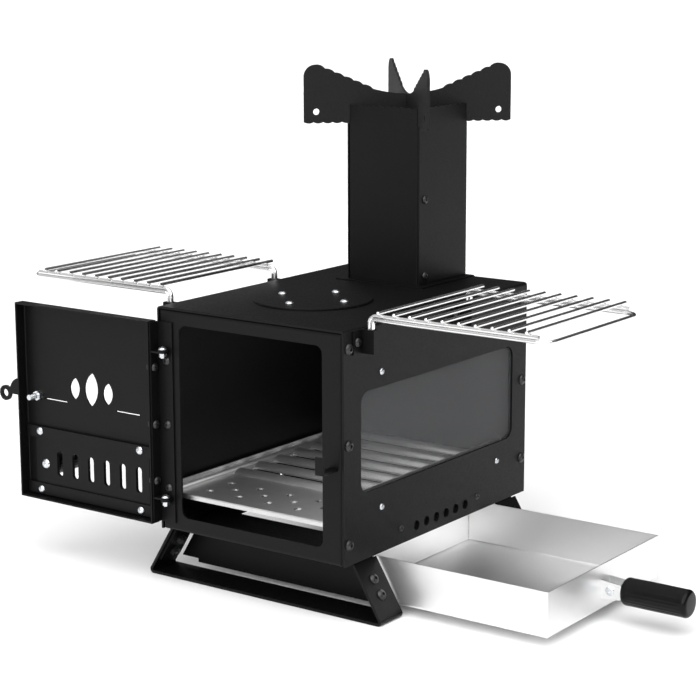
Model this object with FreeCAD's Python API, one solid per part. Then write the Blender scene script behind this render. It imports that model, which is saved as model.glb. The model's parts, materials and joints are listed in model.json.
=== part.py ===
import FreeCAD, Part
import math
import os

V = FreeCAD.Vector
EX = V(1, 0, 0)
EY = V(0, 1, 0)
EZ = V(0, 0, 1)

# ---------------------------------------------------------------- frame
# Millimetres. +X points to the glazed side, +Y to the back, +Z up.
# The sizes below are worked out from the ground point under the middle of the
# firebox; each saved piece is then moved so that the origin is the middle of the
# front foot's underside.

# ---------------------------------------------------------------- driving sizes
WIDTH = 200.0            # firebox, across the front
DEPTH = 288.0            # firebox, front to back
HEIGHT = 200.0           # firebox, floor to top plate
GROUND_GAP = 50.0        # firebox floor above the ground
SHEET = 2.0              # firebox sheet
BEND = 3.0               # outside bend radius of the firebox sheet
THIN = 1.5               # door, chimney and small bracket sheet
SEAM = 0.1               # gap between two sheets that are screwed together
HOLE_GAP = 0.15          # radial gap of a screw in its hole
WELD_GAP = 0.02          # gap between welded wires

# doorway and door
STILE_LEFT = 24.0        # front frame left of the doorway
STILE_RIGHT = 22.0
OPENING_TOP = 14.5       # front frame above the doorway
OPENING_SILL = 13.5      # doorway above the firebox floor
OPENING_W = WIDTH - STILE_LEFT - STILE_RIGHT
OPENING_H = HEIGHT - OPENING_SILL - OPENING_TOP
OPENING_X = (STILE_LEFT - STILE_RIGHT) / 2
OPENING_R = 7.0
PAN_FLANGE = 13.0        # front and rear pan flange
PAN_RELIEF = 1.2         # pan corners cut back
FLANGE_SCREW_IN = 7.0    # flange screws from the front or rear face
DOOR_LAP_HINGE = 2.0     # door past the doorway at the hinge
DOOR_LAP_LATCH = 4.5
DOOR_LAP_TOP = 2.5
DOOR_LAP_SILL = 7.0
DOOR_DEPTH = 12.0
DOOR_GAP = 0.5           # closed door to firebox face
HINGE_INSET = 11.0       # hinge axis from the closed door's edge
PIN_R = 2.0
PIN_GAP = 0.1
LEAF_BODY_IN = 6.5       # body leaf past the hinge axis
LEAF_SIDE = 0.4          # body leaf from the firebox side
LEAF_END = 1.0           # leaves shorter than the door at each end
LEAF_DOOR_W = 9.4
LEAF_HALF = 68.0         # hinge pins' outer lugs from the hinge's middle
LUG_R = 4.5
LUG_GAP = 0.2
BODY_LEAF_PITCH = 57.0
DOOR_LEAF_PITCH = 51.0

# door vents, damper and latch
VENT_COUNT = 6
VENT_PITCH = 19.28
VENT_W = 7.0
VENT_H = 24.0
VENT_FIRST = 22.5        # first slot from the door's hinge edge
VENT_Z = 34.4            # slot centre above the door's lower edge
DAMPER_H = 48.0
FLAME_X = 79.0           # sight holes' middle from the door's hinge edge
FLAME_Z = 93.2           # their foot above the door's lower edge
FLAME_HALF = 57.9        # outer ends of the two level lines from the middle
FLAME_LINE = 28.0
DAMPER_SLIDE = VENT_PITCH / 2
DAMPER_END = 10.0        # damper plate from the door's hinge edge
DAMPER_W = 138.0
DAMPER_MID_Z = 34.8      # damper's middle above the door's lower edge
DAMPER_GAP = 0.1
RAIL_W = 10.5
RAIL_LAP = 2.8
RAIL_SCREW_INSET = 19.3  # rail screws from both ends of the door
RAIL_SCREW_HALF = 27.6   # rail screws above and below the damper's middle
DAMPER_PULL_X = 136.0    # pull from the door's hinge edge
DAMPER_PULL_R = 12.0
DAMPER_PULL_L = 40.0
LATCH_X = 143.5          # latch pivot from the door's hinge edge
LATCH_Z = 95.5           # latch pivot above the door's lower edge
LATCH_T = 2.5
LATCH_RING_X = 46.1      # ring centre from the pivot
LATCH_RING_Z = -4.4
LATCH_RING_R = 7.1
LATCH_EYE_R = 3.75
LATCH_LOBE_X = 26.0      # middle of the thumb lobe from the pivot
LATCH_LOBE_R = 14.0
LATCH_LOBE_DROP = 2.0    # its middle under the pivot
LATCH_BOSS_R = 6.5
LATCH_ARM_TOP = 1.5      # arm's upper edge above the pivot
LATCH_UNDER = 4.2        # lever's lower edge under the pivot
LATCH_GAP = 0.3
CATCH_W = 8.0
CATCH_T = 2.0
CATCH_REACH = 20.0
CATCH_TAB_H = 15.3
CATCH_FOOT_H = 22.0
CATCH_INSET = 6.6        # catch from the firebox side
CATCH_DROP = 4.6         # tab top under the latch pivot

# window in the right wall
WINDOW_FRONT = 24.2      # wall in front of the window
WINDOW_REAR = 23.8
WINDOW_W = DEPTH - WINDOW_FRONT - WINDOW_REAR
WINDOW_H = 87.0
WINDOW_R = 10.0
WINDOW_Y = WINDOW_FRONT + WINDOW_W / 2
WINDOW_Z = 101.0         # window centre above the firebox floor
GLASS_T = 4.0
GLASS_LAP_Y = 4.5
GLASS_LAP_Z = 6.7
GLASS_GAP = 0.2
CLIP_T = 1.4
CLIP_LIP = 7.0
CLIP_FLANGE = 10.5
GLASS_SCREW_Y = WINDOW_W / 2 - 28.0

# grate
GRATE_Z = 33.0           # top of the grate above the firebox floor
GRATE_T = 1.5
GRATE_FRONT = 10.0       # front edge from the firebox front
GRATE_BACK = DEPTH - 12.0
GRATE_LEFT = 5.5         # gap to the left outside face
GRATE_RIGHT = 9.5
GRATE_LIP = 8.0
GRATE_APRON = 3.0
GRATE_BAR_W = 17.0
GRATE_BAR_RISE = 4.0
GRATE_BAR_FIRST = 92.5
GRATE_BARS = 7
GRATE_BAR_PITCH = (GRATE_BACK - GRATE_BAR_FIRST - 8.9) / (GRATE_BARS - 1)
GRATE_HOLE_R = 3.5
GRATE_HOLE_PITCH = 32.7
GRATE_HOLE_ROW = 15.1
GRATE_HOLE_Y = 27.0
RAIL_SEAT = 14.0

# floor and vents
FLOOR_FLANGE = 24.0
FLOOR_GAP = 0.5
ASH_PORT_X = 140.0
ASH_PORT_Y = 150.0
SIDE_VENT_R = 4.4
SIDE_VENT_PITCH = 15.6
SIDE_VENTS = 6
SIDE_VENT_Z = 11.0
SIDE_VENT_Y = DEPTH / 2 + 2.0
FLOOR_SCREW_HALF = 61.0
FLOOR_SCREW_Z = 14.0

# lid, chimney and pot support
CENTRE_X = -6.0          # lid and chimney centre line
LID_Y = 100.0            # lid centre from the front
LID_R = 52.8
LID_T = 2.0
LID_PLUG_R = 47.5
LID_PLUG_T = 6.0
LID_PORT_R = 48.5
LID_SCREW_R = 34.0
CHIMNEY = 80.0
CHIMNEY_Y = DEPTH - 41.0
CHIMNEY_H = 161.0
CHIMNEY_FLANGE = 13.5
CHIMNEY_SCREW_IN = 9.0   # screws from the chimney's front face
COLLAR_T = 1.2
COLLAR_LIP = 8.0
COLLAR_STUB = 20.0
NOTCH_DEPTH = 17.0
NOTCH_SIDE_GAP = 0.5
SCALLOP_RIM = 8.0
PLATE_T = 2.5
PLATE_HALF = 97.0
PLATE_MID_Z = 9.4        # top of the crossing above the chimney rim
PLATE_END_Z = 36.6
PLATE_ARC_HALF = 33.0    # smooth middle of the top edge
PLATE_ARC_RISE = 4.8
PLATE_SCALLOP = 8.8
PLATE_HOLE_R = 3.0
PLATE_HOLE_S = 85.5
PLATE_HOLE_Z = -6.3
PLATE_SLOT_GAP = 0.2

# feet and drawer
FOOT_W = 32.0
FOOT_T = 2.5
FOOT_FRONT = 14.0        # foot strip from the firebox front
FOOT_REAR = DEPTH - 48.0
FOOT_SPREAD = 30.0       # ground corner past the firebox side
FOOT_TOP_GAP = 1.0
FOOT_BRACKET_T = 2.0
FOOT_BRACKET_IN = 3.0    # bracket strip narrower on each side
FOOT_BRACKET_Z = 14.0
FOOT_SCREW_Z = (34.5, 22.0)
DRAWER_L = WIDTH - 2.0
DRAWER_W = FOOT_REAR - FOOT_FRONT - FOOT_W - 3.2
DRAWER_H = 39.6
DRAWER_T = 1.2
DRAWER_Y = DEPTH / 2
DRAWER_OUT = 167.0       # how far it is pulled out
DRAWER_TOP_GAP = 1.9     # rim under the firebox floor
RUNNER_T = 1.5
RUNNER_GAP = 0.5
RUNNER_SHELF = 9.0
RUNNER_FLANGE = 9.0
BRACKET_REACH = 18.7
BRACKET_Z = 18.5         # handle centre above the drawer's bottom
BRACKET_H = 16.0
BRACKET_END_H = 13.0     # bracket's height at the grip
BRACKET_HALF = 8.0       # its side plates' outsides from the grip's axis
BRACKET_PIN_X = 8.6      # cross pin from the drawer
GRIP_R = 12.0
GRIP_L = 61.0

# side shelves
SHELF_ARM_FRONT = 27.0   # front arm from the firebox front
SHELF_ARM_REAR = 175.0
SHELF_REACH = 176.0      # outer bar from the firebox side
SHELF_ARM_Z = 6.5        # lower arm wire above the top plate
SHELF_WIRE_R = 1.75
SHELF_ROD_R = 1.5
SHELF_RODS = 10
SHELF_ROD_FIRST = 17.5
SHELF_ROD_PITCH = 15.6
SHELF_ROD_OVER_FRONT = 4.0
SHELF_ROD_OVER_REAR = 9.0
SHELF_CORNER_R = 12.0
SHELF_LEG_X = 6.5        # upper wire's leg from the firebox side
SHELF_LEG_END = 18.0     # leg end under the top plate
SOCKET_T = 1.5
SOCKET_H = 20.0
SOCKET_TOP = 1.5         # socket under the top plate
SOCKET_GAP = 0.35
SOCKET_EAR = 11.5

# ---------------------------------------------------------------- derived places
XR = WIDTH / 2
YF = -DEPTH / 2
STAND_Y = YF + FOOT_FRONT + FOOT_W / 2
YB = DEPTH / 2
Z0 = GROUND_GAP
Z1 = GROUND_GAP + HEIGHT
DOOR_W = OPENING_W + DOOR_LAP_HINGE + DOOR_LAP_LATCH
DOOR_H = OPENING_H + DOOR_LAP_TOP + DOOR_LAP_SILL
DOOR_CLOSED_X = OPENING_X - OPENING_W / 2 - DOOR_LAP_HINGE
HINGE_X = DOOR_CLOSED_X - HINGE_INSET
HINGE_Y = YF - DOOR_GAP - DOOR_DEPTH / 2
DOOR_X1 = HINGE_X - HINGE_INSET
DOOR_X0 = DOOR_X1 - DOOR_W
DOOR_Z0 = Z0 + OPENING_SILL - DOOR_LAP_SILL
DOOR_Z1 = DOOR_Z0 + DOOR_H
DOOR_SKIN = YF - DOOR_GAP
HINGE_Z = (DOOR_Z0 + DOOR_Z1) / 2 - 1.4
PIVOT_X = DOOR_X1 - LATCH_X
PIVOT_Z = DOOR_Z0 + LATCH_Z
LID_CY = YF + LID_Y
CHIM_CY = YF + CHIMNEY_Y
CHIM_Z0 = Z1 + COLLAR_T
RIM_Z = CHIM_Z0 + CHIMNEY_H
DRAWER_X1 = XR + DRAWER_OUT
DRAWER_X0 = DRAWER_X1 - DRAWER_L
DRAWER_CY = YF + DRAWER_Y
DRAWER_Z1 = Z0 - DRAWER_TOP_GAP
DRAWER_Z0 = DRAWER_Z1 - DRAWER_H
GLASS_X1 = XR - SHEET - GLASS_GAP


# ---------------------------------------------------------------- shape helpers
def box(x0, x1, y0, y1, z0, z1):
    return Part.makeBox(x1 - x0, y1 - y0, z1 - z0, V(x0, y0, z0))


def cyl(r, at, axis, length):
    return Part.makeCylinder(r, length, at, axis)


def turned(shape, at, zdir, xdir=None):
    """Copy of a shape drawn about the origin, its Z along zdir and its X along xdir, put at a point."""
    z = V(zdir).normalize()
    if xdir is None:
        xdir = EZ if abs(z.z) < 0.5 else EX
    x = (V(xdir) - z * z.dot(xdir)).normalize()
    y = z.cross(x)
    m = FreeCAD.Matrix(x.x, y.x, z.x, at.x, x.y, y.y, z.y, at.y, x.z, y.z, z.z, at.z, 0, 0, 0, 1)
    out = shape.copy()
    out.Placement = FreeCAD.Placement(m)
    return out


def face_of(points):
    wire = Part.makePolygon([V(*p) for p in points] + [V(*points[0])])
    return Part.Face(wire)


def edges_where(shape, test):
    """Edges whose every vertex passes the test."""
    return [e for e in shape.Edges if all(test(v.Point) for v in e.Vertexes)]


def rounded_block(w, h, d, r):
    """Block w by h by d, centred in X and Y, from z 0 up, with its four upright edges rounded."""
    block = box(-w / 2, w / 2, -h / 2, h / 2, 0, d)
    upright = [e for e in block.Edges if abs(e.Vertexes[0].Z - e.Vertexes[1].Z) > d / 2]
    return block.makeFillet(r, upright)


def tray(w, h, depth, t, r, relief=0.0):
    """Pan with its plate on z 0 and flanges rising to depth, bent round r, corners cut back by relief."""
    outer = box(-w / 2, w / 2, -h / 2, h / 2, 0, depth)
    outer = outer.makeFillet(r, edges_where(outer, lambda p: abs(p.z) < 1e-6))
    inner = box(-w / 2 + t, w / 2 - t, -h / 2 + t, h / 2 - t, t, depth + 1)
    inner = inner.makeFillet(r - t, edges_where(inner, lambda p: abs(p.z - t) < 1e-6))
    pan = outer.cut(inner)
    if relief:
        for sx in (-1, 1):
            for sy in (-1, 1):
                at = V(sx * w / 2 - relief, sy * h / 2 - relief, t * 0.75)
                pan = pan.cut(Part.makeBox(2 * relief, 2 * relief, depth, at))
    return pan


def channel(w, h, length, t, r):
    """Inverted U sheet, its web up at z 0, legs down to -h, run along +Y from 0."""
    outer = box(-w / 2, w / 2, 0, length, -h, 0)
    outer = outer.makeFillet(r, [e for e in edges_where(outer, lambda p: abs(p.z) < 1e-6)
                                 if abs(e.Vertexes[0].Y - e.Vertexes[1].Y) > length / 2])
    inner = box(-w / 2 + t, w / 2 - t, -1, length + 1, -h - 1, -t)
    inner = inner.makeFillet(r - t, [e for e in edges_where(inner, lambda p: abs(p.z + t) < 1e-6)
                                     if abs(e.Vertexes[0].Y - e.Vertexes[1].Y) > length / 2])
    return outer.cut(inner)


def drilled(shape, places, r, reach=30.0):
    """Cuts one round hole through everything near each place (point, axis)."""
    for at, axis in places:
        shape = shape.cut(cyl(r, at - axis * (reach / 2), axis, reach))
    return shape


def button_screw(r, length, head=1.9, rise=1.1):
    """Button head screw: underside on z 0, dome above, shank down. Head radius is head times r."""
    hr = r * head
    hh = r * rise
    edge = hh * 0.25
    dome = Part.Arc(V(hr, 0, edge), V(hr * 0.72, 0, hh * 0.78), V(hr * 0.4, 0, hh)).toShape()
    pts = [V(hr * 0.4, 0, hh), V(0, 0, hh), V(0, 0, -length), V(r, 0, -length), V(r, 0, 0),
           V(hr, 0, 0), V(hr, 0, edge)]
    lines = [Part.makeLine(a, b) for a, b in zip(pts, pts[1:])]
    solid = Part.Face(Part.Wire([dome] + lines)).revolve(V(0, 0, 0), EZ, 360)
    return solid.cut(hexagon(r * 0.62, hh * 0.6).translated(V(0, 0, hh * 0.4)))


def hexagon(flat, height):
    """Hexagonal prism, flat is half its width across the flats."""
    rim = flat / math.cos(math.pi / 6)
    ring = [(rim * math.cos(k * math.pi / 3), rim * math.sin(k * math.pi / 3), 0) for k in range(6)]
    return face_of(ring).extrude(V(0, 0, height))


def nut(r):
    """Hexagonal nut standing down from z 0, its thread clear of a shank of radius r."""
    body = hexagon(r * 1.6, r * 1.6).translated(V(0, 0, -r * 1.6))
    return body.cut(cyl(r + WELD_GAP, V(0, 0, -r * 2), EZ, r * 3))


def screws(places, r, length, grip=None):
    """Screws at places (point under the head, outward axis), with a nut at depth grip if it is given."""
    out = []
    for at, axis in places:
        out.append(turned(button_screw(r, length), at, axis))
        if grip is not None:
            out.append(turned(nut(r), at - axis * grip, axis))
    return Part.makeCompound(out)


def strip_path(points, r):
    """Wire through points with each inner corner rounded to radius r."""
    edges = []
    last = V(*points[0])
    for a, b, c in zip(points, points[1:], points[2:]):
        a, b, c = V(*a), V(*b), V(*c)
        u = (a - b).normalize()
        w = (c - b).normalize()
        half = math.acos(max(-1, min(1, u.dot(w)))) / 2
        cut = r / math.tan(half)
        start = b + u * cut
        end = b + w * cut
        centre = b + (u + w).normalize() * (r / math.sin(half))
        mid = centre + (b - centre).normalize() * r
        edges.append(Part.makeLine(last, start))
        edges.append(Part.Arc(start, mid, end).toShape())
        last = end
    edges.append(Part.makeLine(last, V(*points[-1])))
    return edges


def bent_wire(points, r, bend):
    """Round wire of radius r along a path of straight runs and tangent arcs."""
    edges = strip_path(points, bend)
    first = edges[0]
    start = first.Vertexes[0].Point
    along = first.tangentAt(first.FirstParameter)
    ring = Part.Wire([Part.makeCircle(r, start, along)])
    return Part.Wire(edges).makePipeShell([ring], True, False)


def moved_left(points, t):
    """XZ points of a line moved t to the left of the way it runs, its corners kept sharp."""
    pts = [V(*p) for p in points]
    ways = [(b - a).normalize() for a, b in zip(pts, pts[1:])]
    sides = [V(-w.z, 0, w.x) for w in ways]
    out = [pts[0] + sides[0] * t]
    for p, a, b in zip(pts[1:], sides, sides[1:]):
        mean = (a + b).normalize()
        out.append(p + mean * (t / mean.dot(a)))
    out.append(pts[-1] + sides[-1] * t)
    return [(p.x, p.y, p.z) for p in out]


def flat_strip(points, t, bend, width, at):
    """Sheet strip whose outside line runs through XZ points, t thick to its left, width along Y."""
    inner_points = moved_left(points, t)
    outer = strip_path(points, bend + t)
    inner = strip_path(inner_points, bend)
    ends = [Part.makeLine(V(*points[k]), V(*inner_points[k])) for k in (0, -1)]
    ring = Part.Wire(Part.__sortEdges__(outer + inner + ends))
    return Part.Face(ring).extrude(V(0, width, 0)).translated(V(0, at, 0))


def save(name, shape):
    placed = shape.copy()
    placed.translate(V(0, -STAND_Y, 0))
    placed.exportStep(os.path.join("parts", name + ".step"))


# ---------------------------------------------------------------- fastener places
def side_places(ys, zs, sides=(-1, 1)):
    return [(V(s * XR, y, z), V(s, 0, 0)) for s in sides for y in ys for z in zs]


FRONT_SCREWS = side_places([YF + FLANGE_SCREW_IN], [Z0 + 18.0, Z0 + 103.0, Z0 + 184.3])
REAR_SCREWS = side_places([YB - FLANGE_SCREW_IN], [Z0 + 34.0, Z0 + 109.0, Z0 + 183.0])
FLOOR_SCREWS = side_places([-FLOOR_SCREW_HALF, FLOOR_SCREW_HALF], [Z0 + FLOOR_SCREW_Z])
SIDE_VENT_ROW = [YF + SIDE_VENT_Y + SIDE_VENT_PITCH * (k - (SIDE_VENTS - 1) / 2) for k in range(SIDE_VENTS)]
SIDE_VENT_PLACES = side_places(SIDE_VENT_ROW, [Z0 + SIDE_VENT_Z])
GLASS_Z0 = Z0 + WINDOW_Z - WINDOW_H / 2 - GLASS_LAP_Z
GLASS_Z1 = Z0 + WINDOW_Z + WINDOW_H / 2 + GLASS_LAP_Z
GLASS_SCREW_ZS = [GLASS_Z0 - CLIP_FLANGE, GLASS_Z1 + CLIP_FLANGE * 0.6]
GLASS_SCREWS = side_places([YF + 54.0, YF + 54.0 + 2 * GLASS_SCREW_Y], GLASS_SCREW_ZS, sides=(1,))
SOCKET_ARMS = {"front": YF + SHELF_ARM_FRONT, "rear": YF + SHELF_ARM_REAR}
SOCKET_IN = SHELF_WIRE_R + SOCKET_GAP
SOCKET_MID_Z = Z1 - SOCKET_TOP - SOCKET_H / 2


def socket_screw_place(side, arm_y):
    y = arm_y - SOCKET_IN - SOCKET_T - SOCKET_EAR / 2
    return (V(side * (XR + SOCKET_T), y, SOCKET_MID_Z), V(side, 0, 0))


SOCKET_SCREWS = [socket_screw_place(s, y) for s in (-1, 1) for y in SOCKET_ARMS.values()]
LEAF_BODY_SCREWS = [(V(HINGE_X, YF - THIN, HINGE_Z + k * BODY_LEAF_PITCH), -EY) for k in (-1, 0, 1)]
LEAF_DOOR_SCREWS = [(V(DOOR_X1 + THIN, HINGE_Y, HINGE_Z + k * DOOR_LEAF_PITCH), EX) for k in (-1, 0, 1)]
LID_SCREWS = [(V(CENTRE_X + LID_SCREW_R * math.cos(a), LID_CY + LID_SCREW_R * math.sin(a), Z1 + LID_T), EZ)
              for a in [k * math.pi / 2 for k in range(4)]]


# ---------------------------------------------------------------- firebox
def window_cut(depth):
    """Rounded window opening through the right wall."""
    block = rounded_block(WINDOW_W, WINDOW_H, depth, WINDOW_R)
    return turned(block, V(XR - depth / 2, YF + WINDOW_Y, Z0 + WINDOW_Z), EX, EY)


def firebox_wrap():
    wrap = channel(WIDTH, HEIGHT, DEPTH, SHEET, BEND).translated(V(0, YF, Z1))
    wrap = wrap.cut(window_cut(10.0))
    wrap = wrap.cut(cyl(LID_PORT_R, V(CENTRE_X, LID_CY, Z1 - 10), EZ, 20))
    flue = CHIMNEY / 2 - THIN - COLLAR_T - 2.0
    wrap = wrap.cut(box(CENTRE_X - flue, CENTRE_X + flue, CHIM_CY - flue, CHIM_CY + flue, Z1 - 10, Z1 + 10))
    wrap = drilled(wrap, FRONT_SCREWS + REAR_SCREWS, 2.5 + HOLE_GAP)
    wrap = drilled(wrap, FLOOR_SCREWS, 1.5 + HOLE_GAP)
    wrap = drilled(wrap, SIDE_VENT_PLACES, SIDE_VENT_R)
    wrap = drilled(wrap, GLASS_SCREWS, 1.5 + HOLE_GAP)
    return drilled(wrap, SOCKET_SCREWS, 2.0 + HOLE_GAP)


def end_pan():
    """Front or rear pan, its plate on z 0, X across and Y up, flanges towards +Z."""
    return tray(WIDTH - 2 * (SHEET + SEAM), HEIGHT - SHEET - SEAM, PAN_FLANGE, SHEET, BEND, PAN_RELIEF)


def front_frame():
    mid_z = Z0 + (HEIGHT - SHEET - SEAM) / 2
    pan = turned(end_pan(), V(0, YF, mid_z), EY, EX)
    hole = rounded_block(OPENING_W, OPENING_H, 10.0, OPENING_R)
    at = V(OPENING_X, YF - 5.0, Z0 + OPENING_SILL + OPENING_H / 2)
    pan = pan.cut(turned(hole, at, EY, EX))
    z = CATCH_Z0
    slot = box(CATCH_X0 - 0.2, CATCH_X0 + CATCH_W + 0.2, YF - 1, YF + SHEET + 1, z - 0.2, z + CATCH_T + 0.2)
    pan = drilled(pan.cut(slot), FRONT_SCREWS, 2.5 + HOLE_GAP)
    return drilled(pan, LEAF_BODY_SCREWS, 2.0 + HOLE_GAP)


def rear_panel():
    mid_z = Z0 + (HEIGHT - SHEET - SEAM) / 2
    pan = turned(end_pan(), V(0, YB, mid_z), -EY, EX)
    return drilled(pan, REAR_SCREWS, 2.5 + HOLE_GAP)


def floor_pan():
    length = DEPTH - 2 * (PAN_FLANGE + FLOOR_GAP)
    pan = channel(WIDTH - 2 * (SHEET + SEAM), FLOOR_FLANGE, length, SHEET, BEND)
    pan = turned(pan, V(0, length / 2, Z0), -EZ, EX)
    port = rounded_block(ASH_PORT_X, ASH_PORT_Y, 10.0, OPENING_R).translated(V(0, 0, Z0 - 5))
    pan = drilled(pan.cut(port), FLOOR_SCREWS, 1.5 + HOLE_GAP)
    return drilled(pan, SIDE_VENT_PLACES, SIDE_VENT_R)


def grate_rails():
    """Two angle strips spot welded inside the walls, just above the floor pan's flanges."""
    z1 = Z0 + GRATE_Z - GRATE_T - SEAM
    z0 = Z0 + FLOOR_FLANGE + 1.0
    y0 = YF + PAN_FLANGE + 2.0
    y1 = YB - PAN_FLANGE - 2.0
    wall = XR - SHEET
    right = box(wall - THIN, wall, y0, y1, z0, z1).fuse(box(wall - RAIL_SEAT, wall, y0, y1, z1 - THIN, z1))
    left = right.mirror(V(0, 0, 0), EX)
    return Part.makeCompound([right.removeSplitter(), left.removeSplitter()])


# ---------------------------------------------------------------- window
def window_glass():
    w = WINDOW_W + 2 * GLASS_LAP_Y
    h = WINDOW_H + 2 * GLASS_LAP_Z
    pane = rounded_block(w, h, GLASS_T, 2.0)
    return turned(pane, V(GLASS_X1 - GLASS_T, YF + WINDOW_Y, Z0 + WINDOW_Z), EX, EY)


def glass_clips():
    """Z-shaped strips above and below the pane: a flange on the wall, a step, and a lip over the glass."""
    wall = XR - SHEET
    lip = GLASS_X1 - GLASS_T - GLASS_GAP
    y0 = YF + WINDOW_Y - WINDOW_W / 2 + 8.0
    y1 = YF + WINDOW_Y + WINDOW_W / 2 - 8.0
    out = []
    for edge, up in ((GLASS_Z0 - GLASS_GAP, -1), (GLASS_Z1 + GLASS_GAP, 1)):
        far = edge + up * (CLIP_FLANGE + CLIP_T)
        web = edge + up * CLIP_T
        inner = edge - up * (CLIP_LIP + GLASS_GAP)
        pts = [(wall, 0, edge), (lip, 0, edge), (lip, 0, inner), (lip - CLIP_T, 0, inner),
               (lip - CLIP_T, 0, web), (wall - CLIP_T, 0, web), (wall - CLIP_T, 0, far), (wall, 0, far)]
        clip = face_of(pts).extrude(V(0, y1 - y0, 0)).translated(V(0, y0, 0))
        out.append(drilled(clip, GLASS_SCREWS, 1.5 + HOLE_GAP))
    return Part.makeCompound(out)


# ---------------------------------------------------------------- grate
def grate():
    """Stamped tray: side lips, a perforated front with a turned-down edge, and raised round bars."""
    x0 = -XR + GRATE_LEFT
    x1 = XR - GRATE_RIGHT
    y0 = YF + GRATE_FRONT
    y1 = YF + GRATE_BACK
    top = Z0 + GRATE_Z
    low = top - GRATE_T
    pts = [(x0, 0, top + GRATE_LIP), (x0, 0, low), (x1, 0, low), (x1, 0, top + GRATE_LIP)]
    sheet = flat_strip(pts, GRATE_T, 5.0, y1 - y0, y0)
    apron = box(x0 + 8, x1 - 8, y0 - GRATE_T, y0, low - GRATE_APRON, top)
    crease = y0 - GRATE_T
    fold = edges_where(apron, lambda p: abs(p.z - top) < 1e-6 and abs(p.y - crease) < 1e-6)
    sheet = sheet.fuse(apron.makeFillet(GRATE_T * 0.9, fold))
    bar_x0 = x0 + 9.0
    bar_x1 = x1 - 9.0
    first = YF + GRATE_BAR_FIRST
    for k in range(GRATE_BARS):
        mid = first + k * GRATE_BAR_PITCH
        gap0 = mid - GRATE_BAR_PITCH + GRATE_BAR_W / 2
        gap1 = mid - GRATE_BAR_W / 2
        slot = rounded_block(bar_x1 - bar_x0, gap1 - gap0, 10, 4.0)
        at = V((bar_x0 + bar_x1) / 2, (gap0 + gap1) / 2, low - 5)
        if k:
            sheet = sheet.cut(turned(slot, at, EZ, EX))
    for k in range(GRATE_BARS):
        sheet = raise_bar(sheet, first + k * GRATE_BAR_PITCH, bar_x0, bar_x1, top)
    for row in range(3):
        y = YF + GRATE_HOLE_Y + row * GRATE_HOLE_ROW
        shift = GRATE_HOLE_PITCH / 2 if row == 1 else 0.0
        for k in range(-2, 3 if row != 1 else 2):
            x = CENTRE_X + 4.7 + shift + k * GRATE_HOLE_PITCH
            sheet = sheet.cut(cyl(GRATE_HOLE_R, V(x, y, low - 5), EZ, 15))
    return sheet.removeSplitter()


def raise_bar(sheet, y, x0, x1, top):
    """Presses one half-round bar up out of the sheet, its crown GRATE_BAR_RISE above it."""
    half = GRATE_BAR_W / 2
    rise = GRATE_BAR_RISE
    r = (half * half + rise * rise) / (2 * rise)
    centre = top + rise - r
    outer = cyl(r, V(x0, y, centre), EX, x1 - x0)
    inner = cyl(r - GRATE_T, V(x0 - 1, y, centre), EX, x1 - x0 + 2)
    cap = box(x0, x1, y - half, y + half, top - GRATE_T, top + rise + 1)
    crown = outer.cut(inner).common(cap)
    hollow = inner.common(box(x0 + GRATE_T, x1 - GRATE_T, y - half, y + half, top - 3, top + rise + 1))
    return sheet.cut(hollow).fuse(crown)


# ---------------------------------------------------------------- lid
def lid_plate():
    disc = cyl(LID_R, V(CENTRE_X, LID_CY, Z1), EZ, LID_T)
    rim = [e for e in disc.Edges if abs(e.BoundBox.ZMin - Z1 - LID_T) < 1e-6 and e.Length > LID_R]
    return drilled(disc.makeFillet(0.5, rim), LID_SCREWS, 2.0 + HOLE_GAP)


def lid_plug():
    plug = cyl(LID_PLUG_R, V(CENTRE_X, LID_CY, Z1 - LID_PLUG_T), EZ, LID_PLUG_T)
    return drilled(plug, LID_SCREWS, 2.0 + HOLE_GAP)


# ---------------------------------------------------------------- chimney
def notch_tools():
    """Diagonal slots through all four chimney corners."""
    half = PLATE_T / 2 + NOTCH_SIDE_GAP
    reach = CHIMNEY
    tools = []
    for angle in (45, 135):
        slot = box(-reach, reach, -half, half, RIM_Z - NOTCH_DEPTH, RIM_Z + 5)
        slot.rotate(V(0, 0, 0), EZ, angle)
        tools.append(slot.translated(V(CENTRE_X, CHIM_CY, 0)))
    return tools


def rim_scallops():
    """Shallow round bites along the chimney's rim, on all four sides."""
    h = CHIMNEY / 2
    n = int((CHIMNEY - 16) / SCALLOP_RIM)
    tools = []
    for k in range(n + 1):
        s = (k - n / 2) * SCALLOP_RIM
        tools.append(cyl(3.2, V(CENTRE_X + s, CHIM_CY - h - 1, RIM_Z + 2.4), EY, CHIMNEY + 2))
        tools.append(cyl(3.2, V(CENTRE_X - h - 1, CHIM_CY + s, RIM_Z + 2.4), EX, CHIMNEY + 2))
    return tools


def chimney_screw_places():
    x = CHIMNEY / 2
    y = CHIM_CY - CHIMNEY / 2 + CHIMNEY_SCREW_IN
    zs = (CHIM_Z0 + 8.0, CHIM_Z0 + 78.0)
    return [(V(CENTRE_X + s * x, y, z), V(s, 0, 0)) for s in (-1, 1) for z in zs]


def chimney_shell():
    shell = channel(CHIMNEY, CHIMNEY, CHIMNEY_H, THIN, 2.0)
    shell = turned(shell, V(CENTRE_X, CHIM_CY + CHIMNEY / 2, CHIM_Z0), EY, -EX)
    shell = shell.cut(Part.makeCompound(notch_tools()))
    for tool in rim_scallops():
        shell = shell.cut(tool)
    return drilled(shell, chimney_screw_places(), 2.0 + HOLE_GAP, 8.0)


def chimney_front():
    w = CHIMNEY - 2 * (THIN + SEAM)
    front = channel(w, CHIMNEY_FLANGE, CHIMNEY_H, THIN, 2.0)
    front = turned(front, V(CENTRE_X, CHIM_CY - CHIMNEY / 2, CHIM_Z0), -EY, EX)
    front = front.cut(Part.makeCompound(notch_tools()))
    for tool in rim_scallops():
        front = front.cut(tool)
    return drilled(front, chimney_screw_places(), 2.0 + HOLE_GAP, 8.0)


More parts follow.
